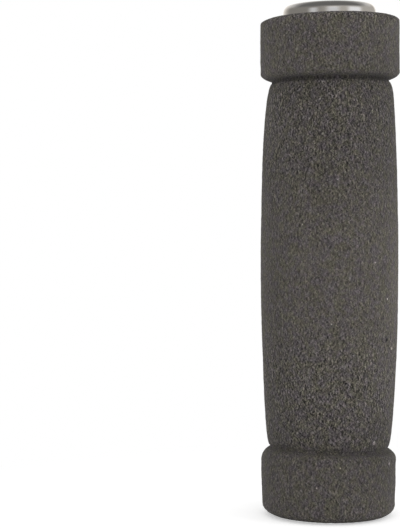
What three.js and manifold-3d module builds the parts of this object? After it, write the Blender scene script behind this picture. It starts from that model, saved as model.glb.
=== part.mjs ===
// A foam handlebar grip with its end plug.
// The foam is one moulded sleeve: a collar at each end and a barrel-shaped body between them, parted from the
// collars by two grooves, on a plain bore for the handlebar. A chromed plastic plug closes the outer end: its
// round head covers the end of the handlebar, and its hollow, slotted stem carries flexible fins.
// Millimetres. +Z runs along the handlebar's axis towards the plug, and the origin is the centre of the sleeve's
// inner end face.
import * as THREE from "three";
import { mergeVertices } from "three/addons/utils/BufferGeometryUtils.js";
import Module from "manifold-3d";

const wasm = await Module();
wasm.setup();

// Foam sleeve, driving dimensions. A wall is measured from the bore outwards.
const sleeveLength = 125;
const boreDiameter = 21;
const boreBevel = 0.3;

const innerCollarWall = 6.35;
const innerCollarWidth = 17.1;
const innerCollarEndRounding = { depth: 4, height: 2.8 };
const innerCollarShoulder = { depth: 2, height: 2.95 };
const innerGrooveWidth = 0.65;

const outerCollarWall = 6.95;
const outerCollarWidth = 15.5;
const outerCollarEndRounding = { depth: 2.8, height: 1.1 };
const outerCollarShoulder = { depth: 2.55, height: 2.1 };
const outerGrooveWidth = 0.85;

const bodyWidestWall = 6.8;
const bodyWidestOffset = 3.3;
const bodyInnerEnd = { wall: 5.45, height: 4.5 };
const bodyOuterEnd = { wall: 5.6, height: 5.45 };
const narrowestEndFlat = 0.6;

// End plug, driving dimensions
const headOverhang = 1;
const headThickness = 3.55;
const headEdgeRadius = 1.2;
const headCrown = 0.3;
const stemWall = 1.7;
const stemLength = 20;
const stemTipBevel = 0.8;
const hollowIntoHead = 1.2;
const finReach = 2.7;
const finFirstDrop = 3.6;
const finPitch = 4.2;
const finThickness = 0.9;
const finSweep = 1.2;
const finClearance = 0.3;
const slotWidth = 2.2;
const stemBandWidth = 5;

// Fineness of the round surfaces
const segmentsAround = 64;
const cornerSteps = 6;
const bodySteps = 12;
const crownSteps = 4;
const samePoint = 1e-4;

// Radii that follow from the sizes above
const boreRadius = boreDiameter / 2;
const innerCollarRadius = boreRadius + innerCollarWall;
const outerCollarRadius = boreRadius + outerCollarWall;
const innerGrooveRadius = innerCollarRadius - innerCollarShoulder.depth;
const outerGrooveRadius = outerCollarRadius - outerCollarShoulder.depth;
const headRadius = boreRadius + headOverhang;
const finRadius = boreRadius - finClearance;
const stemRadius = finRadius - finReach;

const foamMaterial = new THREE.MeshStandardMaterial({ color: 0x53504c, roughness: 0.95, metalness: 0 });
const chromeMaterial = new THREE.MeshStandardMaterial({ color: 0xd0d0d2, roughness: 0.12, metalness: 1 });

const point = (radius, z) => new THREE.Vector2(radius, z);

// Points of a quarter ellipse round (centreR, centreZ), from one angle to the other, in quarter turns.
function quarter(centreR, centreZ, { depth, height }, from, to) {
  const points = [];
  for (let i = 0; i <= cornerSteps; i++) {
    const angle = (Math.PI / 2) * (from + ((to - from) * i) / cornerSteps);
    points.push(point(centreR + depth * Math.cos(angle), centreZ + height * Math.sin(angle)));
  }
  return points;
}

// Points of one half of the barrel, from startZ to endZ: a shallow parabola, upright at the widest height.
function barrelHalf(startZ, endZ, widestZ, endWall) {
  const farZ = startZ === widestZ ? endZ : startZ;
  const points = [];
  for (let i = 0; i <= bodySteps; i++) {
    const z = startZ + ((endZ - startZ) * i) / bodySteps;
    const share = (z - widestZ) / (farZ - widestZ);
    const wall = bodyWidestWall - (bodyWidestWall - endWall) * share ** 2;
    points.push(point(boreRadius + wall, z));
  }
  return points;
}

// Turns a profile of (radius, z) points round the Z axis.
function turned(points) {
  const kept = points.filter((p, i) => i === 0 || p.distanceTo(points[i - 1]) > samePoint);
  return new THREE.LatheGeometry(kept, segmentsAround).rotateX(Math.PI / 2);
}

// A collar's rounded end, which leaves a flat ring beside the bore.
function endRounding(rounding, wall) {
  return { depth: Math.min(rounding.depth, wall - boreBevel - narrowestEndFlat), height: rounding.height };
}

function innerCollarPoints() {
  const end = endRounding(innerCollarEndRounding, innerCollarWall);
  const shoulder = innerCollarShoulder;
  return [
    point(boreRadius, boreBevel),
    point(boreRadius + boreBevel, 0),
    ...quarter(innerCollarRadius - end.depth, end.height, end, -1, 0),
    ...quarter(innerGrooveRadius, innerCollarWidth - shoulder.height, shoulder, 0, 1),
  ];
}

function bodyPoints() {
  const barrelStart = innerCollarWidth + innerGrooveWidth + bodyInnerEnd.height;
  const barrelEnd = sleeveLength - outerCollarWidth - outerGrooveWidth - bodyOuterEnd.height;
  const widestZ = (barrelStart + barrelEnd) / 2 + bodyWidestOffset;
  const innerDepth = boreRadius + bodyInnerEnd.wall - innerGrooveRadius;
  const outerDepth = boreRadius + bodyOuterEnd.wall - outerGrooveRadius;
  return [
    ...quarter(innerGrooveRadius, barrelStart, { depth: innerDepth, height: bodyInnerEnd.height }, -1, 0),
    ...barrelHalf(barrelStart, widestZ, widestZ, bodyInnerEnd.wall),
    ...barrelHalf(widestZ, barrelEnd, widestZ, bodyOuterEnd.wall),
    ...quarter(outerGrooveRadius, barrelEnd, { depth: outerDepth, height: bodyOuterEnd.height }, 0, 1),
  ];
}

function outerCollarPoints() {
  const end = endRounding(outerCollarEndRounding, outerCollarWall);
  const shoulder = outerCollarShoulder;
  return [
    ...quarter(outerGrooveRadius, sleeveLength - outerCollarWidth + shoulder.height, shoulder, -1, 0),
    ...quarter(outerCollarRadius - end.depth, sleeveLength - end.height, end, 0, 1),
    point(boreRadius + boreBevel, sleeveLength),
    point(boreRadius, sleeveLength - boreBevel),
  ];
}

function makeSleeve() {
  const profile = [...innerCollarPoints(), ...bodyPoints(), ...outerCollarPoints()];
  profile.push(profile[0].clone());
  const mesh = new THREE.Mesh(turned(profile), foamMaterial);
  mesh.name = "foam_sleeve";
  return mesh;
}

// One fin of the stem, from the side nearest the tip to the side nearest the head: it sweeps back to the head.
function finPoints(rootZ) {
  return [
    point(stemRadius, rootZ),
    point(finRadius, rootZ + finSweep),
    point(finRadius, rootZ + finSweep + finThickness / 2),
    point(stemRadius, rootZ + finThickness),
  ];
}

// As many fins as the stem has room for, from the tip to the head.
function allFinPoints() {
  const room = stemLength - stemTipBevel - finFirstDrop;
  const fins = Math.floor(room / finPitch) + 1;
  const points = [];
  for (let i = fins - 1; i >= 0; i--) {
    points.push(...finPoints(-finFirstDrop - i * finPitch));
  }
  return points;
}

// The head's edge and its slightly crowned face, from the rim to the axis.
function headPoints() {
  const faceRadius = headRadius - headEdgeRadius;
  const edgeZ = headThickness - headCrown - headEdgeRadius;
  const points = quarter(faceRadius, edgeZ, { depth: headEdgeRadius, height: headEdgeRadius }, 0, 1);
  for (let i = 1; i <= crownSteps; i++) {
    const r = faceRadius * (1 - i / crownSteps);
    points.push(point(r, headThickness - headCrown * (r / faceRadius) ** 2));
  }
  return points;
}

// Profile of the plug in its own frame: the head's underside, which bears on the sleeve, is at z = 0.
function plugProfile() {
  const hollowRadius = stemRadius - stemWall;
  return [
    point(0, hollowIntoHead),
    point(hollowRadius, hollowIntoHead),
    point(hollowRadius, -stemLength),
    point(stemRadius - stemTipBevel, -stemLength),
    point(stemRadius, stemTipBevel - stemLength),
    ...allFinPoints(),
    point(stemRadius, 0),
    point(headRadius, 0),
    ...headPoints(),
  ];
}

// A closed geometry as a solid for boolean work.
function solidOf(geometry) {
  geometry.deleteAttribute("normal");
  geometry.deleteAttribute("uv");
  const merged = mergeVertices(geometry, samePoint);
  const index = merged.index.array;
  const triangles = [];
  for (let i = 0; i < index.length; i += 3) {
    const [a, b, c] = [index[i], index[i + 1], index[i + 2]];
    if (a !== b && b !== c && c !== a) triangles.push(a, b, c);
  }
  return new wasm.Manifold(
    new wasm.Mesh({
      numProp: 3,
      vertProperties: merged.getAttribute("position").array,
      triVerts: new Uint32Array(triangles),
    }),
  );
}

function geometryOf(solid) {
  const mesh = solid.getMesh();
  const geometry = new THREE.BufferGeometry();
  geometry.setAttribute("position", new THREE.BufferAttribute(new Float32Array(mesh.vertProperties), 3));
  geometry.setIndex(new THREE.BufferAttribute(new Uint32Array(mesh.triVerts), 1));
  geometry.computeVertexNormals();
  return geometry;
}

// Two crossing slots part the stem into four prongs, from its tip to a whole band under the head.
function slotBlades() {
  const tipOverrun = 1;
  const length = stemLength - stemBandWidth + tipOverrun;
  const blade = (sizeX, sizeY) =>
    new THREE.BoxGeometry(sizeX, sizeY, length).translate(0, 0, -stemBandWidth - length / 2);
  return [blade(boreDiameter, slotWidth), blade(slotWidth, boreDiameter)];
}

function makePlug() {
  let solid = solidOf(turned(plugProfile()));
  for (const blade of slotBlades()) solid = solid.subtract(solidOf(blade));
  const mesh = new THREE.Mesh(geometryOf(solid), chromeMaterial);
  mesh.name = "end_plug";
  mesh.position.z = sleeveLength;
  return mesh;
}

const grip = new THREE.Group();
grip.add(makeSleeve(), makePlug());

export default grip;
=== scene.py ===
import math

import bmesh
import bpy
import numpy as np
from mathutils import Matrix, Vector, noise


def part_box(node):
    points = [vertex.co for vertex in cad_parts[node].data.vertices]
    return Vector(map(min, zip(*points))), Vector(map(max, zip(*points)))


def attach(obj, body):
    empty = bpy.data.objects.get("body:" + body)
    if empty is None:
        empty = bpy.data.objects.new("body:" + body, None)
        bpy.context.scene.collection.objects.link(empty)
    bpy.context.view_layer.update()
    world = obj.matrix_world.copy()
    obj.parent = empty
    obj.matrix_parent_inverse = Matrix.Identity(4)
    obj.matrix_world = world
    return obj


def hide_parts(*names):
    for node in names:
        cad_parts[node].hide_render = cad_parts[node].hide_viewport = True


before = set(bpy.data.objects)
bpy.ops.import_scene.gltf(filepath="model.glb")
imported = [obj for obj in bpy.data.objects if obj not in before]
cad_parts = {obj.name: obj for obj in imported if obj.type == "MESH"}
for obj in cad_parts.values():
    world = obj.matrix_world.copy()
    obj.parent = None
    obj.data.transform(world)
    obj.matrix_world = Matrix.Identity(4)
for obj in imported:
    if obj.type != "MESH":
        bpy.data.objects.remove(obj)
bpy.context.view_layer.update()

MM = 0.001

# Sizes that the model's parts give
sleeve_low, sleeve_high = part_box("foam_sleeve")
plug_low, plug_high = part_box("end_plug")
SLEEVE_LENGTH = (sleeve_high.z - sleeve_low.z) / MM
HEAD_RADIUS = plug_high.x / MM
HEAD_THICKNESS = plug_high.z / MM - SLEEVE_LENGTH
STEM_LENGTH = SLEEVE_LENGTH - plug_low.z / MM

# Foam sleeve, as in the model. A rounding or a shoulder is (depth, height).
BORE_RADIUS = 10.5
BORE_BEVEL = 0.3
INNER_COLLAR_RADIUS = 16.85
INNER_COLLAR_WIDTH = 17.1
INNER_END_ROUNDING = (4.0, 2.8)
INNER_SHOULDER = (2.0, 2.95)
INNER_GROOVE_WIDTH = 0.65
OUTER_COLLAR_RADIUS = 17.45
OUTER_COLLAR_WIDTH = 15.5
OUTER_END_ROUNDING = (2.8, 1.1)
OUTER_SHOULDER = (2.55, 2.1)
OUTER_GROOVE_WIDTH = 0.85
BODY_WIDEST_RADIUS = 17.3
BODY_WIDEST_OFFSET = 3.3
BODY_INNER_END_RADIUS = 15.95
BODY_INNER_END_HEIGHT = 4.5
BODY_OUTER_END_RADIUS = 16.1
BODY_OUTER_END_HEIGHT = 5.45

# Heights that follow from these: where the outer groove ends, and the middles of the two grooves
OUTER_GROOVE_TOP = SLEEVE_LENGTH - OUTER_COLLAR_WIDTH
GROOVE_HEIGHTS = (INNER_COLLAR_WIDTH + INNER_GROOVE_WIDTH / 2, OUTER_GROOVE_TOP - OUTER_GROOVE_WIDTH / 2)

# Foam further from the axis than this has the skin's full unevenness and its shade. The bore has neither.
SKIN_RADIUS = BORE_RADIUS + 1.0

# End plug, as in the model, but for the head: its edge is rounded further, as (depth, height), and its
# foot has a small bevel.
HEAD_EDGE = (1.3, 1.9)
HEAD_CROWN = 0.3
HEAD_FOOT_BEVEL = 0.12
STEM_RADIUS = 7.5
STEM_WALL = 1.7
STEM_TIP_BEVEL = 0.8
STEM_BAND_WIDTH = 5.0
HOLLOW_INTO_HEAD = 1.2
FIN_RADIUS = 10.2
FIN_FIRST_DROP = 3.6
FIN_PITCH = 4.2
FIN_THICKNESS = 0.9
FIN_SWEEP = 1.2
SLOT_WIDTH = 2.2
SLOT_OVERRUN = 1.0

# How the photo shows the plug a little off its place: its lean in radians, its shift along X, and how much
# wider its head is
PLUG_TILT = 0.015
PLUG_SHIFT = -0.07
HEAD_SPREAD = 0.12

# Fineness of the meshes
FOAM_AROUND = 256
FOAM_SPACING = 0.46
GROOVE_SPACING = 0.28
BORE_SPACING = 3.0
PLUG_AROUND = 256
PLUG_SPACING = 0.18
CROWN_POINTS = 24
LEAST_CORNER_STEPS = 4
SAME_POINT = 1e-4
AXIS_HOLE_RADIUS = 0.02
SHARP_ANGLE = math.radians(35)

# The foam's unevenness: its swells, lumps and grain as (length, depth), and the fractal noise's
# increment, lacunarity and octaves. In a groove, lumps and grain keep only a share of their depth.
SWELL = (24.0, 0.10)
LUMPS = (3.4, 0.035)
GRAIN = (1.0, 0.045)
FRACTAL = (1.0, 2.0, 2)
GROOVE_CALM_SHARE = 0.25
GROOVE_CALM_REACH = 2.0

# Rounding of the grooves' corners: how far from the groove's middle, and how many times over
GROOVE_EASING_REACH = 1.6
GROOVE_EASING_PASSES = 2

# The outer face's slope along X, the radii over which it sets in, and how far down the collar it reaches
OUTER_FACE_TILT = 0.022
OUTER_FACE_TILT_RADII = (11.5, 14.5)
OUTER_FACE_TILT_REACH = 8.0

# How far each groove runs above its level place, as (angle, rise), and how far along the sleeve that reaches
INNER_GROOVE_RISE = [
    (-180, 0.0), (-135, 0.0), (-90, -0.3), (-42, 0.35), (0, 0.0), (42, -0.4), (90, -0.6), (135, -0.2),
]
OUTER_GROOVE_RISE = [(-180, 0.0), (-90, 0.0), (-50, 0.0), (0, 0.06), (50, 0.3), (90, 0.46), (135, 0.2)]
GROOVE_RISE_REACH = 5.0

# Soft swells and dents, as (angle, height, reach round, reach along, depth outwards)
DENTS = [
    (-90, 110.6, 45, 0.8, 0.25),
    (-90, 107.2, 40, 4.0, -0.40),
    (-90, 93.5, 50, 9, 0.10),
    (90, 110.6, 45, 0.8, 0.20),
    (90, 107.8, 40, 3.0, -0.16),
    (90, 98, 50, 10, 0.10),
    (-90, 19.5, 45, 3.0, -0.22),
    (-90, 12, 50, 6, 0.30),
    (90, 19.5, 45, 3.0, -0.26),
    (90, 15.6, 40, 1.3, 0.20),
    (90, 3.5, 45, 3, -0.22),
    (90, 43, 50, 10, 0.10),
]


def quarter(centre_r, centre_z, depth, height, start, stop, spacing):
    """(r, z) points of a quarter ellipse, from one angle to the other, in quarter turns."""
    length = math.pi / 2 * math.hypot(depth, height) / math.sqrt(2)
    steps = max(LEAST_CORNER_STEPS, round(length / spacing))
    angles = np.linspace(start, stop, steps + 1) * math.pi / 2
    return [(centre_r + depth * math.cos(a), centre_z + height * math.sin(a)) for a in angles]


def straight(start, stop, spacing):
    """(r, z) points from one point to the other, both left out."""
    steps = max(1, round(math.dist(start, stop) / spacing))
    return [tuple(np.array(start) + (np.array(stop) - start) * i / steps) for i in range(1, steps)]


def barrel(start_z, end_z, widest_z, end_radius, spacing):
    """(r, z) points of one half of the barrel: a shallow parabola, upright at its widest height."""
    far_z = end_z if start_z == widest_z else start_z
    heights = np.linspace(start_z, end_z, round((end_z - start_z) / spacing) + 1)
    sag = BODY_WIDEST_RADIUS - end_radius
    return [(BODY_WIDEST_RADIUS - sag * ((z - widest_z) / (far_z - widest_z)) ** 2, z) for z in heights]


def joined(*runs):
    """Runs of points in a row, without the points that repeat."""
    points = []
    for p in (p for run in runs for p in run):
        if not points or math.dist(p, points[-1]) > SAME_POINT:
            points.append(tuple(p))
    return points


def eased(section, height):
    """A section whose outer corners near that height are rounded."""
    near = (np.abs(section[:, 1] - height) < GROOVE_EASING_REACH) & (section[:, 0] > SKIN_RADIUS)
    for _ in range(GROOVE_EASING_PASSES):
        middle = (np.roll(section, 1, axis=0) + np.roll(section, -1, axis=0)) / 2
        section = np.where(near[:, None], (section + middle) / 2, section)
    return section


def inner_collar_runs():
    """The inner end's rounding and the inner collar's shoulder."""
    depth, height = INNER_END_ROUNDING
    end = quarter(INNER_COLLAR_RADIUS - depth, height, depth, height, -1, 0, FOAM_SPACING)
    depth, height = INNER_SHOULDER
    shoulder_z = INNER_COLLAR_WIDTH - height
    shoulder = quarter(INNER_COLLAR_RADIUS - depth, shoulder_z, depth, height, 0, 1, GROOVE_SPACING)
    return end, shoulder


def body_runs(inner_groove_radius, outer_groove_radius):
    """The body's foot, its barrel in two halves, and its head."""
    low = INNER_COLLAR_WIDTH + INNER_GROOVE_WIDTH + BODY_INNER_END_HEIGHT
    high = OUTER_GROOVE_TOP - OUTER_GROOVE_WIDTH - BODY_OUTER_END_HEIGHT
    widest = (low + high) / 2 + BODY_WIDEST_OFFSET
    foot_depth = BODY_INNER_END_RADIUS - inner_groove_radius
    head_depth = BODY_OUTER_END_RADIUS - outer_groove_radius
    foot = quarter(inner_groove_radius, low, foot_depth, BODY_INNER_END_HEIGHT, -1, 0, GROOVE_SPACING)
    head = quarter(outer_groove_radius, high, head_depth, BODY_OUTER_END_HEIGHT, 0, 1, GROOVE_SPACING)
    return (
        foot,
        barrel(low, widest, widest, BODY_INNER_END_RADIUS, FOAM_SPACING),
        barrel(widest, high, widest, BODY_OUTER_END_RADIUS, FOAM_SPACING),
        head,
    )


def outer_collar_runs():
    """The outer collar's shoulder and the outer end's rounding."""
    depth, height = OUTER_SHOULDER
    shoulder_z = OUTER_GROOVE_TOP + height
    shoulder = quarter(OUTER_COLLAR_RADIUS - depth, shoulder_z, depth, height, -1, 0, GROOVE_SPACING)
    depth, height = OUTER_END_ROUNDING
    end = quarter(OUTER_COLLAR_RADIUS - depth, SLEEVE_LENGTH - height, depth, height, 0, 1, FOAM_SPACING)
    return shoulder, end


def sleeve_profile():
    """The foam's section, from the outer end's bevel down the bore, and up the outside to the outer end."""
    bore_top = (BORE_RADIUS, SLEEVE_LENGTH - BORE_BEVEL)
    bore_bottom = (BORE_RADIUS, BORE_BEVEL)
    ring_bottom = (BORE_RADIUS + BORE_BEVEL, 0.0)
    ring_top = (BORE_RADIUS + BORE_BEVEL, SLEEVE_LENGTH)
    inner_end, inner_shoulder = inner_collar_runs()
    outer_shoulder, outer_end = outer_collar_runs()
    body = body_runs(INNER_COLLAR_RADIUS - INNER_SHOULDER[0], OUTER_COLLAR_RADIUS - OUTER_SHOULDER[0])
    section = joined(
        [bore_top],
        straight(bore_top, bore_bottom, BORE_SPACING),
        [bore_bottom, ring_bottom],
        straight(ring_bottom, inner_end[0], FOAM_SPACING),
        inner_end,
        straight(inner_end[-1], inner_shoulder[0], FOAM_SPACING),
        inner_shoulder,
        straight(inner_shoulder[-1], body[0][0], GROOVE_SPACING),
        *body,
        straight(body[-1][-1], outer_shoulder[0], GROOVE_SPACING),
        outer_shoulder,
        straight(outer_shoulder[-1], outer_end[0], FOAM_SPACING),
        outer_end,
        straight(outer_end[-1], ring_top, FOAM_SPACING),
        [ring_top],
    )
    section = np.array(section)
    for height in GROOVE_HEIGHTS:
        section = eased(section, height)
    return section


def turned(section, around):
    """Points and outward normals of a closed section turned round Z, as (rows, around, 3) arrays. Each row
    starts on +X."""
    ahead = np.roll(section, -1, axis=0) - section
    behind = section - np.roll(section, 1, axis=0)
    along = ahead / np.linalg.norm(ahead, axis=1)[:, None] + behind / np.linalg.norm(behind, axis=1)[:, None]
    along /= np.linalg.norm(along, axis=1)[:, None]
    angles = np.linspace(0, 2 * math.pi, around, endpoint=False)
    outward = np.stack([np.cos(angles), np.sin(angles)], axis=1)
    points = np.empty((len(section), around, 3))
    normals = np.empty_like(points)
    points[..., :2] = section[:, None, :1] * outward[None]
    points[..., 2] = section[:, None, 1]
    normals[..., :2] = along[:, None, 1:] * outward[None]
    normals[..., 2] = -along[:, :1]
    return points, normals


def field(points, size):
    """Smooth noise at each point, with features of that size in millimetres."""
    flat = points.reshape(-1, 3) / size
    values = [noise.fractal(Vector(p), *FRACTAL) for p in flat]
    return np.array(values).reshape(points.shape[:-1])


def smooth_step(low, high, x):
    """0 below low, 1 above high, and a smooth rise between."""
    t = np.clip((x - low) / (high - low), 0, 1)
    return t * t * (3 - 2 * t)


def eased_round(angles, stops):
    """Values at those angles, eased from stop to stop of (angle, value) all the way round."""
    places = np.array([a for a, _ in stops] + [stops[0][0] + 360])
    values = np.array([v for _, v in stops] + [stops[0][1]])
    turned_in = (angles - places[0]) % 360 + places[0]
    after = np.searchsorted(places, turned_in, side="right").clip(1, len(places) - 1)
    low, high = places[after - 1], places[after]
    share = smooth_step(0, 1, (turned_in - low) / (high - low))
    return values[after - 1] + (values[after] - values[after - 1]) * share


def soft_spot(angles, heights, centre, middle, reach_round, reach_along):
    """1 at the place on the skin with that centre angle and middle height, and falling off round it."""
    off = (angles - centre + 180) % 360 - 180
    return np.exp(-((off / reach_round) ** 2) - ((heights - middle) / reach_along) ** 2)


def grid_mesh(name, points, closed_section):
    """A mesh from a (rows, around, 3) array of points in millimetres, joined round each row."""
    rows, around = points.shape[:2]
    faces = []
    for j in range(rows if closed_section else rows - 1):
        a, b = j * around, (j + 1) % rows * around
        for i in range(around):
            k = (i + 1) % around
            faces.append((a + i, a + k, b + k, b + i))
    mesh = bpy.data.meshes.new(name)
    mesh.from_pydata((points.reshape(-1, 3) * MM).tolist(), [], faces)
    mesh.shade_smooth()
    mesh.validate()
    return mesh


def add_object(name, mesh, material):
    """Links a mesh to the scene under that name, with its material."""
    thing = bpy.data.objects.new(name, mesh)
    bpy.context.scene.collection.objects.link(thing)
    thing.data.materials.append(material)
    return thing


def foam_points(section):
    """The sleeve's surface with the unevenness of moulded foam, the slightly askew outer face, the grooves'
    wavering and the dents."""
    points, normals = turned(section, FOAM_AROUND)
    radius = np.linalg.norm(points[..., :2], axis=-1)
    height = points[..., 2].copy()
    skin = smooth_step(BORE_RADIUS, SKIN_RADIUS, radius)
    from_groove = np.abs(height[..., None] - np.array(GROOVE_HEIGHTS)).min(axis=-1)
    out_of_groove = smooth_step(0.0, GROOVE_CALM_REACH, from_groove)
    free = GROOVE_CALM_SHARE + (1 - GROOVE_CALM_SHARE) * out_of_groove
    rise = np.zeros_like(radius)
    for (length, depth), share in ((SWELL, 1.0), (LUMPS, free), (GRAIN, free)):
        rise += depth * field(points, length) * skin * share
    points = points + normals * rise[..., None]
    tilted = smooth_step(SLEEVE_LENGTH - OUTER_FACE_TILT_REACH, SLEEVE_LENGTH, height)
    tilted *= smooth_step(*OUTER_FACE_TILT_RADII, radius)
    points[..., 2] += OUTER_FACE_TILT * points[..., 0] * tilted
    angle = np.degrees(np.arctan2(points[..., 0], -points[..., 1]))
    for groove, stops in zip(GROOVE_HEIGHTS, (INNER_GROOVE_RISE, OUTER_GROOVE_RISE)):
        near = np.exp(-(((height - groove) / GROOVE_RISE_REACH) ** 2)) * skin
        points[..., 2] += eased_round(angle, stops) * near
    outward = points[..., :2] / radius[..., None]
    for *place, swell in DENTS:
        shape = soft_spot(angle, height, *place) * skin
        points[..., :2] += outward * (swell * shape)[..., None]
    return points


def foam_shade(section):
    """How light the skin is at each point: the grooves' painted shade, and broad lighter and darker patches,
    some of them painted shade.
    """
    steps = np.linalg.norm(np.diff(section, axis=0), axis=1)
    along = np.concatenate([[0.0], np.cumsum(steps)])
    heights = section[:, 1]
    outside = section[:, 0] > SKIN_RADIUS
    shade = np.ones(len(section))
    for groove, stops in zip(GROOVE_HEIGHTS, (INNER_GROOVE_SHADE, OUTER_GROOVE_SHADE)):
        floor = np.argmin(np.where(outside, np.abs(heights - groove), np.inf))
        shade *= np.where(outside, np.interp(along - along[floor], *zip(*stops)), 1.0)
    # A row starts on +X, which is at 90 degrees from the front
    angles = np.linspace(90, 450, FOAM_AROUND, endpoint=False)
    level = np.repeat(shade[:, None], FOAM_AROUND, axis=1)
    for *place, change in TONE_AND_SHADE_PATCHES:
        patch = soft_spot(angles, heights[:, None], *place)
        level *= 1 + change * np.where(outside[:, None], patch, 0)
    return level


class Nodes:
    """A short way to add nodes to an emptied node tree and join them."""

    def __init__(self, tree):
        self.tree = tree
        tree.nodes.clear()

    def put(self, socket, value):
        """Joins a socket to another node's output, or sets its own value."""
        if isinstance(value, bpy.types.NodeSocket):
            self.tree.links.new(value, socket)
        else:
            socket.default_value = value

    def add(self, kind, inputs=None, **settings):
        """Adds a node with those inputs, each by its name or number, and those settings."""
        node = self.tree.nodes.new(kind)
        for key, value in settings.items():
            setattr(node, key, value)
        for key, value in (inputs or {}).items():
            self.put(node.inputs[key], value)
        return node

    def math(self, operation, a, b=0.0, c=0.0):
        return self.add("ShaderNodeMath", {0: a, 1: b, 2: c}, operation=operation).outputs[0]

    def degrees(self, operation, a, b=0.0):
        """The angle that an inverse function gives, in degrees."""
        return self.math("DEGREES", self.math(operation, a, b))

    def blend(self, share, a, b):
        """One number that runs from a to b as the share runs from 0 to 1."""
        node = self.add("ShaderNodeMix", {0: share}, data_type="FLOAT")
        self.put(node.inputs[2], a)
        self.put(node.inputs[3], b)
        return node.outputs[0]

    def map_range(self, value, source, target, interpolation="LINEAR"):
        inputs = {0: value, 1: source[0], 2: source[1], 3: target[0], 4: target[1]}
        return self.add("ShaderNodeMapRange", inputs, interpolation_type=interpolation).outputs[0]

    def mix(self, factor, a, b, blend="MIX"):
        """One colour from two."""
        node = self.add("ShaderNodeMix", data_type="RGBA", blend_type=blend)
        for index, value in ((0, factor), (6, a), (7, b)):
            self.put(node.inputs[index], value)
        return node.outputs[2]

    def noise(self, vector, scale, detail=2.0, roughness=0.5, warp=0.0):
        inputs = {
            "Vector": vector,
            "Scale": scale,
            "Detail": detail,
            "Roughness": roughness,
            "Distortion": warp,
        }
        return self.add("ShaderNodeTexNoise", inputs).outputs["Fac"]

    def ramp(self, factor, stops):
        """A smooth grey ramp over stops of (place, level)."""
        node = self.add("ShaderNodeValToRGB", {"Fac": factor})
        node.color_ramp.interpolation = "EASE"
        elements = node.color_ramp.elements
        while len(elements) < len(stops):
            elements.new(0.5)
        for element, (place, level) in zip(elements, stops):
            element.position = place
            element.color = (level, level, level, 1)
        return node.outputs["Color"]

    def parted(self, value, edges):
        """0 below the lower edge, 1 above the upper one, and a smooth rise between."""
        return self.ramp(value, [(edges[0], 0.0), (edges[1], 1.0)])

    def finish(self, shader, output="ShaderNodeOutputMaterial"):
        self.add(output, {"Surface": shader.outputs[0]})


def new_material(name):
    """A material and its empty node tree."""
    material = bpy.data.materials.new(name)
    material.use_nodes = True
    return material, Nodes(material.node_tree)


# Foam finish. Every scale in a material is in features per millimetre, about.
FOAM_ROUGHNESS = 0.95
FOAM_SPECULAR = 0.2
FOAM_SHEEN = 0.05
FOAM_SHEEN_ROUGHNESS = 0.6

# The foam's two base colours and where each is, and the two finer casts on them
FOAM_OLIVE = (0.0884, 0.0816, 0.0632, 1)
FOAM_PURPLE = (0.0842, 0.0744, 0.0772, 1)
HUE_SCALE = 0.5
HUE_DETAIL = 4.0
HUE_ROUGHNESS = 0.6
HUE_EDGES = (0.33, 0.67)
GREEN_CAST = (0.978, 1.015, 0.981, 1)
PINK_CAST = (1.022, 0.985, 1.019, 1)
CAST_SCALE = 1.3
CAST_EDGES = (0.35, 0.65)

# The grain: its noise, which is drawn out along Z, and how strongly it shows as light and dark and as
# bump. A second reading, turned round Z from the first, sharpens it.
GRAIN_SCALE = 3.1
GRAIN_DETAIL = 1.5
GRAIN_STRETCH = 0.52
GRAIN_WARP = 1.0
GRAIN_MIDDLE = 0.5
GRAIN_BESIDE_TURN = math.radians(1.7)
GRAIN_BESIDE_SHARE = 0.15
GRAIN_CONTRAST = 3.0
GRAIN_POWER = 2.4
GRAIN_DARKEST = 0.1
GRAIN_BUMP_DEPTH = 0.40 * MM

# Faint, broad clouds in the foam's lightness
CLOUD_SCALE = 0.12
CLOUD_LEAST = 0.93
CLOUD_SPREAD = 0.14

# How strong the grain is and how light the foam is along the sleeve, as (share of its length, level)
COARSENESS = [
    (0.0, 1.0), (0.018, 0.60), (0.13, 0.60), (0.17, 0.94), (0.28, 0.93), (0.40, 0.58), (0.50, 0.52),
    (0.62, 0.62), (0.75, 0.85), (0.80, 1.0), (0.86, 1.0), (0.885, 0.60), (0.985, 0.60), (0.994, 1.1),
]
# The tone's first stops paint a shade along the foot's bottom edge, where it meets the floor.
TONE = [
    (0.0, 0.70), (0.007, 0.75), (0.013, 0.96), (0.08, 0.91), (0.13, 0.90), (0.165, 0.85), (0.20, 0.92),
    (0.27, 0.98), (0.36, 1.01), (0.45, 1.03), (0.56, 1.02), (0.62, 0.96), (0.70, 0.88), (0.80, 0.86),
    (0.86, 0.82), (0.885, 0.94), (1.0, 0.96),
]

# Shade in and beside the grooves, as (distance along the skin from the groove's middle, level).
# Distances count up towards the plug.
INNER_GROOVE_SHADE = [(-2.2, 1.0), (-1.0, 0.91), (-0.3, 0.86), (0.3, 0.86), (1.2, 0.91), (2.4, 1.0)]
OUTER_GROOVE_SHADE = [
    (-1.0, 1.0), (-0.45, 0.68), (-0.3, 0.6), (-0.1, 0.41), (0.2, 0.41), (0.42, 0.55), (1.2, 0.72),
    (1.9, 0.88), (2.6, 1.0),
]

# Broad patches of lighter and darker skin, some of them painted shade, as (angle, height, reach round, reach
# along, change)
TONE_AND_SHADE_PATCHES = [
    # painted shade: the sleeve's left side darker, away from the key lamp
    (-52, 45, 20, 42, -0.15),
    (38, 72, 20, 38, -0.03),
    (-25, 68, 14, 24, 0.05),
    (-64, 102, 13, 10, 0.12),
    (-36, 124, 22, 2.2, 0.14),
    (0, 90, 14, 12, -0.05),
    # painted shade along the outer groove on the right
    (55, 109, 36, 0.9, -0.14),
    (60, 102, 32, 18, -0.13),
    (70, 52, 12, 18, 0.16),
    (57, 20, 30, 8, -0.15),
    (52, 8, 30, 12, -0.08),
]

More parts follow.
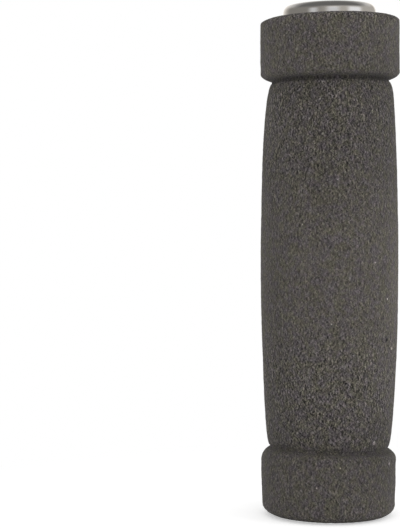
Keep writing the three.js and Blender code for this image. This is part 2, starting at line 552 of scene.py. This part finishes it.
# Light specks and dark pores on the skin, as (angle, height, radius). Those on the back are guessed.
LIGHT_SPECKS = [
    (40.5, 64.0, 0.17), (56.2, 55.0, 0.23), (65.5, 42.6, 0.33), (1.9, 49.1, 0.17), (-22.1, 73.3, 0.19),
    (6.5, 84.2, 0.17), (45.3, 19.6, 0.42), (9.6, 14.0, 0.18), (62.8, 14.0, 0.35), (-10.2, 9.1, 0.13),
    (118, 88, 0.2), (151, 37, 0.26), (-163, 70, 0.17), (-128, 52, 0.23), (-104, 97, 0.18),
    (176, 112, 0.17), (-141, 12, 0.25),
]
DARK_PORES = [(56.3, 44.9, 0.46), (14.8, 34.7, 0.2), (133, 61, 0.24), (-150, 92, 0.2), (-112, 30, 0.3)]
SPOT_SOFTNESS = 0.15
SPECK_LEVEL = 4.2
PORE_LEVEL = 0.06


def millimetres(nodes, stretch_z=1.0):
    """The object's own coordinates in millimetres, with Z shrunk by a factor, to lengthen features."""
    place = nodes.add("ShaderNodeTexCoord").outputs["Object"]
    scale = (1 / MM, 1 / MM, stretch_z / MM)
    return nodes.add("ShaderNodeMapping", {"Vector": place, "Scale": scale}).outputs["Vector"]


def spotted(nodes, place, spots):
    """1 on each small round spot and 0 off them, on the skin unrolled flat."""
    x, y, z = nodes.add("ShaderNodeSeparateXYZ", {"Vector": place}).outputs
    turn = nodes.math("ARCTAN2", x, nodes.math("MULTIPLY", y, -1.0))
    round_way = nodes.math("MULTIPLY", turn, BODY_WIDEST_RADIUS)
    unrolled = nodes.add("ShaderNodeCombineXYZ", {"X": round_way, "Y": z}).outputs["Vector"]
    share = 0.0
    for angle, height, radius in spots:
        edges = (radius + SPOT_SOFTNESS, radius - SPOT_SOFTNESS)
        centre = (math.radians(angle) * BODY_WIDEST_RADIUS, height, 0)
        away = nodes.add("ShaderNodeVectorMath", {0: unrolled, 1: centre}, operation="DISTANCE")
        inside = nodes.map_range(away.outputs["Value"], edges, (0.0, 1.0), "SMOOTHSTEP")
        share = nodes.math("MAXIMUM", share, inside)
    return share


def foam_grain(nodes):
    """The grain's height, and its light and dark, which a reading beside it sharpens."""
    place = millimetres(nodes, GRAIN_STRETCH)
    turn = {"Vector": place, "Angle": GRAIN_BESIDE_TURN}
    beside = nodes.add("ShaderNodeVectorRotate", turn, rotation_type="Z_AXIS").outputs["Vector"]
    grain, grain_beside = (
        nodes.noise(at, GRAIN_SCALE, detail=GRAIN_DETAIL, warp=GRAIN_WARP) for at in (place, beside)
    )
    relief_beside = nodes.math("SUBTRACT", grain_beside, GRAIN_MIDDLE)
    sharpened = nodes.math("MULTIPLY_ADD", relief_beside, -GRAIN_BESIDE_SHARE, grain)
    return grain, nodes.math("SUBTRACT", sharpened, GRAIN_MIDDLE)


def foam_tint(nodes, place):
    """The foam's hue, at an even lightness."""
    hue = nodes.noise(place, HUE_SCALE, detail=HUE_DETAIL, roughness=HUE_ROUGHNESS)
    base = nodes.mix(nodes.parted(hue, HUE_EDGES), FOAM_OLIVE, FOAM_PURPLE)
    cast = nodes.parted(nodes.noise(place, CAST_SCALE), CAST_EDGES)
    return nodes.mix(1.0, base, nodes.mix(cast, PINK_CAST, GREEN_CAST), blend="MULTIPLY")


def foam_level(nodes, place, along, relief):
    """How light the foam is: its grain, clouds, tone, specks and pores, and the shade on its mesh."""
    lightness = nodes.math("MULTIPLY_ADD", relief, GRAIN_CONTRAST, 1.0)
    grain = nodes.math("POWER", nodes.math("MAXIMUM", lightness, GRAIN_DARKEST), GRAIN_POWER)
    clouds = nodes.math("MULTIPLY_ADD", nodes.noise(place, CLOUD_SCALE), CLOUD_SPREAD, CLOUD_LEAST)
    level = nodes.math("MULTIPLY", nodes.math("MULTIPLY", grain, clouds), nodes.ramp(along, TONE))
    for spots, spot_level in ((LIGHT_SPECKS, SPECK_LEVEL), (DARK_PORES, PORE_LEVEL)):
        change = nodes.math("MULTIPLY_ADD", spotted(nodes, place, spots), spot_level - 1, 1.0)
        level = nodes.math("MULTIPLY", level, change)
    shade = nodes.add("ShaderNodeAttribute", attribute_name="shade").outputs["Fac"]
    return nodes.math("MULTIPLY", level, shade)


def foam_material():
    material, nodes = new_material("foam")
    place = millimetres(nodes)
    height = nodes.add("ShaderNodeSeparateXYZ", {"Vector": place}).outputs["Z"]
    along = nodes.math("DIVIDE", height, SLEEVE_LENGTH)
    coarse = nodes.ramp(along, COARSENESS)
    grain, relief = foam_grain(nodes)
    level = foam_level(nodes, place, along, nodes.math("MULTIPLY", relief, coarse))
    grey = nodes.add("ShaderNodeCombineColor", {0: level, 1: level, 2: level}).outputs["Color"]
    bump = nodes.add(
        "ShaderNodeBump",
        {"Strength": 1.0, "Distance": GRAIN_BUMP_DEPTH, "Height": nodes.math("MULTIPLY", grain, coarse)},
    )
    shader = nodes.add(
        "ShaderNodeBsdfPrincipled",
        {
            "Base Color": nodes.mix(1.0, foam_tint(nodes, place), grey, blend="MULTIPLY"),
            "Roughness": FOAM_ROUGHNESS,
            "Specular IOR Level": FOAM_SPECULAR,
            "Sheen Weight": FOAM_SHEEN,
            "Sheen Roughness": FOAM_SHEEN_ROUGHNESS,
            "Normal": bump.outputs["Normal"],
        },
    )
    nodes.finish(shader)
    return material


def make_foam():
    section = sleeve_profile()
    mesh = grid_mesh("foam_grip_sleeve", foam_points(section), closed_section=True)
    shade = mesh.attributes.new("shade", "FLOAT", "POINT")
    shade.data.foreach_set("value", foam_shade(section).ravel())
    foam = add_object("foam_grip_sleeve", mesh, foam_material())
    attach(foam, "root")
    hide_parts("foam_sleeve")


# Chrome finish: faint smudges in its gloss, and the slight ripple of the moulded plastic under it
CHROME_COLOUR = (0.80, 0.79, 0.78, 1)
SMUDGE_SCALE = 0.35
SMUDGE_DETAIL = 3.0
SMUDGE_FINENESS = 0.6
CHROME_LEAST_ROUGHNESS = 0.07
CHROME_SMUDGE_ROUGHNESS = 0.10
RIPPLE_SCALE = 0.9
RIPPLE_DETAIL = 1.0
RIPPLE_STRENGTH = 0.25
RIPPLE_DEPTH = 0.02 * MM


def fin_points(root_z):
    """One fin of the stem, which sweeps back to the head."""
    return [
        (STEM_RADIUS, root_z),
        (FIN_RADIUS, root_z + FIN_SWEEP),
        (FIN_RADIUS, root_z + FIN_SWEEP + FIN_THICKNESS / 2),
        (STEM_RADIUS, root_z + FIN_THICKNESS),
    ]


def stem_fin_points():
    """As many fins as the stem has room for, from the tip to the head."""
    count = math.floor((STEM_LENGTH - STEM_TIP_BEVEL - FIN_FIRST_DROP) / FIN_PITCH) + 1
    points = []
    for i in reversed(range(count)):
        points += fin_points(-FIN_FIRST_DROP - i * FIN_PITCH)
    return points


def plug_profile():
    """The plug's section, with the head's underside at z = 0, from the hollow to the head's middle."""
    hollow = STEM_RADIUS - STEM_WALL
    rim = HEAD_RADIUS + HEAD_SPREAD
    face = rim - HEAD_EDGE[0]
    edge_z = HEAD_THICKNESS - HEAD_CROWN - HEAD_EDGE[1]
    crown_radii = np.linspace(face, AXIS_HOLE_RADIUS, CROWN_POINTS)
    return joined(
        [(AXIS_HOLE_RADIUS, HOLLOW_INTO_HEAD), (hollow, HOLLOW_INTO_HEAD), (hollow, -STEM_LENGTH)],
        [(STEM_RADIUS - STEM_TIP_BEVEL, -STEM_LENGTH), (STEM_RADIUS, STEM_TIP_BEVEL - STEM_LENGTH)],
        stem_fin_points(),
        [(STEM_RADIUS, 0), (rim - HEAD_FOOT_BEVEL, 0), (rim, HEAD_FOOT_BEVEL)],
        quarter(face, edge_z, *HEAD_EDGE, 0, 1, PLUG_SPACING),
        [(r, HEAD_THICKNESS - HEAD_CROWN * (r / face) ** 2) for r in crown_radii],
    )


def close_ends(mesh, rows, around):
    """Closes the small holes that an open section leaves at the axis."""
    work = bmesh.new()
    work.from_mesh(mesh)
    work.verts.ensure_lookup_table()
    first = [work.verts[i] for i in range(around)]
    last = [work.verts[(rows - 1) * around + i] for i in range(around)]
    work.faces.new(reversed(first))
    work.faces.new(last)
    bmesh.ops.triangulate(work, faces=[f for f in work.faces if len(f.verts) > 4])
    bmesh.ops.recalc_face_normals(work, faces=work.faces)
    work.to_mesh(mesh)
    work.free()


def box_mesh(name, low, high):
    """A box between two corners in millimetres."""
    corners = [(x, y, z) for x in (low[0], high[0]) for y in (low[1], high[1]) for z in (low[2], high[2])]
    faces = [(0, 1, 3, 2), (4, 6, 7, 5), (0, 4, 5, 1), (2, 3, 7, 6), (0, 2, 6, 4), (1, 5, 7, 3)]
    mesh = bpy.data.meshes.new(name)
    mesh.from_pydata([tuple(c * MM for c in corner) for corner in corners], [], faces)
    return mesh


def cut(thing, cutter_mesh):
    """Cuts a closed mesh out of an object's mesh."""
    cutter = bpy.data.objects.new(cutter_mesh.name, cutter_mesh)
    bpy.context.scene.collection.objects.link(cutter)
    modifier = thing.modifiers.new("cut", "BOOLEAN")
    modifier.object = cutter
    modifier.operation = "DIFFERENCE"
    modifier.solver = "EXACT"
    result = bpy.data.meshes.new_from_object(thing.evaluated_get(bpy.context.evaluated_depsgraph_get()))
    thing.modifiers.clear()
    thing.data = result
    bpy.data.objects.remove(cutter)


def cut_slots(plug):
    """Two crossing slots, which part the stem into four prongs from its tip to the band under the head."""
    reach = BORE_RADIUS
    half = SLOT_WIDTH / 2
    low_z = -STEM_LENGTH - SLOT_OVERRUN
    for name, x, y in (("slot_across", reach, half), ("slot_along", half, reach)):
        cut(plug, box_mesh(name, (-x, -y, low_z), (x, y, -STEM_BAND_WIDTH)))


def chrome_material():
    material, nodes = new_material("chromed_plastic")
    place = millimetres(nodes)
    smudge = nodes.noise(place, SMUDGE_SCALE, detail=SMUDGE_DETAIL, roughness=SMUDGE_FINENESS)
    roughness = nodes.math("MULTIPLY_ADD", smudge, CHROME_SMUDGE_ROUGHNESS, CHROME_LEAST_ROUGHNESS)
    ripple = nodes.noise(place, RIPPLE_SCALE, detail=RIPPLE_DETAIL)
    bump = nodes.add(
        "ShaderNodeBump", {"Strength": RIPPLE_STRENGTH, "Distance": RIPPLE_DEPTH, "Height": ripple}
    )
    shader = nodes.add(
        "ShaderNodeBsdfPrincipled",
        {
            "Base Color": CHROME_COLOUR,
            "Metallic": 1.0,
            "Roughness": roughness,
            "Normal": bump.outputs["Normal"],
        },
    )
    nodes.finish(shader)
    return material


def make_plug():
    points, _ = turned(np.array(plug_profile()), PLUG_AROUND)
    mesh = grid_mesh("chrome_end_plug", points, closed_section=False)
    plug = add_object("chrome_end_plug", mesh, chrome_material())
    close_ends(plug.data, len(points), PLUG_AROUND)
    cut_slots(plug)
    seat = Matrix.Translation((PLUG_SHIFT * MM, 0, SLEEVE_LENGTH * MM))
    plug.data.transform(seat @ Matrix.Rotation(-PLUG_TILT, 4, "Y"))
    plug.data.shade_smooth()
    plug.data.set_sharp_from_angle(angle=SHARP_ANGLE)
    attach(plug, "root")
    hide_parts("end_plug")


# Studio, in metres. The floor is lifted towards white where it is seen, keeps the grip's shadow near
# it, and is open under the grip's foot.
WHITE = (1, 1, 1, 1)
FLOOR_RADIUS = 3.0
FLOOR_SIDES = 96
FLOOR_DROP = 0.0001
FLOOR_COLOUR = (0.95, 0.95, 0.95, 1)
FLOOR_LIFT = 0.42
FLOOR_OPENING = 0.013
SHADOW_REACH = (0.03, 0.12)
WORLD_LEVEL = 0.72

# What gloss shows: a room round the plug's head, with light cards on a warm grey wall and a dark
# ceiling, and white behind. Azimuths run as angles round the grip do, tilts from the front over the
# top to the back, and elevations from the head's height up. A card is (azimuth, half its width, level
# at its foot, level at its top, elevations over which it fades).
ROOM_RADIUS = 1.0
ROOM_ELEVATIONS = (-12.0, 89.0)
ROOM_AROUND = 72
ROOM_ROWS = 26
WALL_WARM = (1.0, 0.945, 0.87, 1)
CEILING_WARM = (1.0, 0.975, 0.945, 1)
CARD_WHITE = (0.98, 0.98, 1.0, 1)
LEFT_WALL_LEVEL = 0.24
RIGHT_WALL_LEVEL = 0.46
LEFT_TO_RIGHT = (-45, 20)
LEFT_WALL_END = (112, 176)
RIGHT_WALL_END = (148, 164)
WALL_CARDS = [
    (-40, 10, 0.62, 0.46, (8, 22)),
    (9, 14, 0.64, 1.05, (9, 25)),
    (66, 18, 0.92, 0.86, (10, 28)),
]
CARD_EDGE = 8.0
CARD_FOOT_AND_TOP = (8, 21)
CEILING_EDGE = (18, 36)
CEILING_TILTS = [(0, 0.14), (85, 0.15), (112, 0.30), (132, 0.55), (150, 0.80), (165, 1.0)]
HALF_TURN = 180

# Soft lamps, as (name, place, size, power)
LAMPS = [
    ("key", (0.85, -0.20, 0.30), 0.6, 2.2),
    ("fill", (-0.05, -0.85, 0.30), 0.6, 1.1),
]


def seen_directly(nodes):
    """1 for what the camera sees, straight on or in metal and glass."""
    path = nodes.add("ShaderNodeLightPath").outputs
    either = nodes.math("MAXIMUM", path["Is Camera Ray"], path["Is Glossy Ray"])
    return nodes.math("MAXIMUM", either, path["Is Transmission Ray"])


def floor_material():
    """White, with the grip's soft shadow near it, and as white as the background further off. It is clear
    from below, and under the grip's foot, so that light gets into the bore."""
    material, nodes = new_material("floor")
    place = nodes.add("ShaderNodeTexCoord").outputs["Object"]
    distance = nodes.add("ShaderNodeVectorMath", {0: place}, operation="LENGTH").outputs["Value"]
    seen = seen_directly(nodes)
    lit = nodes.add("ShaderNodeBsdfDiffuse", {"Color": FLOOR_COLOUR})
    lift_strength = nodes.math("MULTIPLY", seen, FLOOR_LIFT)
    lift = nodes.add("ShaderNodeEmission", {"Color": WHITE, "Strength": lift_strength})
    near = nodes.add("ShaderNodeAddShader", {0: lit.outputs[0], 1: lift.outputs[0]})
    far = nodes.add("ShaderNodeEmission", {"Color": WHITE, "Strength": 1.0})
    far_share = nodes.map_range(distance, SHADOW_REACH, (0.0, 1.0), "SMOOTHSTEP")
    seen_far = nodes.math("MULTIPLY", far_share, seen)
    top = nodes.add("ShaderNodeMixShader", {0: seen_far, 1: near.outputs[0], 2: far.outputs[0]})
    below = nodes.add("ShaderNodeNewGeometry").outputs["Backfacing"]
    gone = nodes.math("MAXIMUM", below, nodes.math("LESS_THAN", distance, FLOOR_OPENING))
    clear = nodes.add("ShaderNodeBsdfTransparent")
    nodes.finish(nodes.add("ShaderNodeMixShader", {0: gone, 1: top.outputs[0], 2: clear.outputs[0]}))
    return material


def make_floor():
    angles = np.linspace(0, 2 * math.pi, FLOOR_SIDES, endpoint=False)
    rim = [(FLOOR_RADIUS * math.cos(a), FLOOR_RADIUS * math.sin(a), -FLOOR_DROP) for a in angles]
    mesh = bpy.data.meshes.new("floor")
    mesh.from_pydata(rim, [], [range(len(rim))])
    add_object("floor", mesh, floor_material())


def make_world():
    world = bpy.data.worlds.new("studio")
    bpy.context.scene.world = world
    world.use_nodes = True
    nodes = Nodes(world.node_tree)
    strength = nodes.math("MULTIPLY_ADD", seen_directly(nodes), 1 - WORLD_LEVEL, WORLD_LEVEL)
    background = nodes.add("ShaderNodeBackground", {"Color": WHITE, "Strength": strength})
    nodes.finish(background, "ShaderNodeOutputWorld")


def room_material():
    material, nodes = new_material("room")
    place = nodes.add("ShaderNodeTexCoord").outputs["Object"]
    x, y, z = nodes.add("ShaderNodeSeparateXYZ", {"Vector": place}).outputs
    front = nodes.math("MULTIPLY", y, -1.0)
    azimuth = nodes.degrees("ARCTAN2", x, front)
    tilt = nodes.degrees("ARCTAN2", z, front)
    elevation = nodes.degrees("ARCSINE", nodes.math("DIVIDE", z, ROOM_RADIUS))
    level = nodes.map_range(azimuth, LEFT_TO_RIGHT, (LEFT_WALL_LEVEL, RIGHT_WALL_LEVEL), "SMOOTHSTEP")
    for side, (start, stop) in ((-1, LEFT_WALL_END), (1, RIGHT_WALL_END)):
        behind = nodes.map_range(azimuth, (side * start, side * stop), (0.0, 1.0), "SMOOTHSTEP")
        level = nodes.blend(behind, level, 1.0)
    tilt_stops = [(angle / HALF_TURN, tone) for angle, tone in CEILING_TILTS]
    ceiling = nodes.ramp(nodes.math("DIVIDE", tilt, HALF_TURN), tilt_stops)
    above = nodes.map_range(elevation, CEILING_EDGE, (0.0, 1.0), "SMOOTHSTEP")
    level = nodes.blend(above, level, ceiling)
    on_card = 0.0
    for centre, half_width, foot, top, fade in WALL_CARDS:
        off = nodes.math("ABSOLUTE", nodes.math("SUBTRACT", azimuth, centre))
        edges = (half_width + CARD_EDGE, half_width - CARD_EDGE)
        across = nodes.map_range(off, edges, (0.0, 1.0), "SMOOTHSTEP")
        upward = nodes.map_range(elevation, fade, (1.0, 0.0), "SMOOTHSTEP")
        card = nodes.math("MULTIPLY", across, upward)
        level = nodes.blend(card, level, nodes.map_range(elevation, CARD_FOOT_AND_TOP, (foot, top)))
        on_card = nodes.math("MAXIMUM", on_card, card)
    colour = nodes.mix(on_card, nodes.mix(above, WALL_WARM, CEILING_WARM), CARD_WHITE)
    nodes.finish(nodes.add("ShaderNodeEmission", {"Color": colour, "Strength": level}))
    return material


def make_room():
    """A dome that shows only in gloss, as the cards and walls round a product do."""
    angles = np.linspace(0, 2 * math.pi, ROOM_AROUND, endpoint=False)
    rises = np.radians(np.linspace(*ROOM_ELEVATIONS, ROOM_ROWS))
    points = np.empty((ROOM_ROWS, ROOM_AROUND, 3))
    points[..., 0] = np.cos(rises)[:, None] * np.cos(angles)
    points[..., 1] = np.cos(rises)[:, None] * np.sin(angles)
    points[..., 2] = np.sin(rises)[:, None]
    mesh = grid_mesh("room", points * ROOM_RADIUS / MM, closed_section=False)
    room = add_object("room", mesh, room_material())
    room.location.z = (SLEEVE_LENGTH + HEAD_THICKNESS / 2) * MM
    room.visible_camera = False
    room.visible_diffuse = False
    room.visible_transmission = False
    room.visible_shadow = False


def add_lamp(name, place, size, power):
    """A square area lamp that faces the grip's middle, and doesn't show in gloss."""
    data = bpy.data.lights.new(name, "AREA")
    data.size = size
    data.energy = power
    lamp = bpy.data.objects.new(name, data)
    bpy.context.scene.collection.objects.link(lamp)
    lamp.location = place
    aim = Vector((0, 0, SLEEVE_LENGTH / 2 * MM)) - Vector(place)
    lamp.rotation_euler = aim.to_track_quat("-Z", "Y").to_euler()
    lamp.visible_glossy = False


# Camera, fitted to the grip's outline in the photograph, with its angles in radians. The sensor's width lies
# along the photograph's longer side, which is its height in pixels.
CAMERA_DISTANCE = 400.48 * MM
CAMERA_HEIGHT = 73.09 * MM
CAMERA_YAW = -0.0817
CAMERA_PITCH = 0.0251
FOCAL_PIXELS = 1579.33
PHOTO_HEIGHT = 530
SENSOR = 36.0


def make_camera():
    data = bpy.data.cameras.new("camera")
    data.sensor_width = SENSOR
    data.lens = FOCAL_PIXELS * SENSOR / PHOTO_HEIGHT
    camera = bpy.data.objects.new("camera", data)
    bpy.context.scene.collection.objects.link(camera)
    camera.location = (0, -CAMERA_DISTANCE, CAMERA_HEIGHT)
    forward = Vector(
        (
            math.sin(CAMERA_YAW) * math.cos(CAMERA_PITCH),
            math.cos(CAMERA_YAW) * math.cos(CAMERA_PITCH),
            -math.sin(CAMERA_PITCH),
        )
    )
    camera.rotation_euler = forward.to_track_quat("-Z", "Y").to_euler()
    bpy.context.scene.camera = camera


make_camera()
make_foam()
make_plug()
make_floor()
make_world()
make_room()
for lamp_values in LAMPS:
    add_lamp(*lamp_values)
bpy.context.scene.view_settings.view_transform = "Standard"
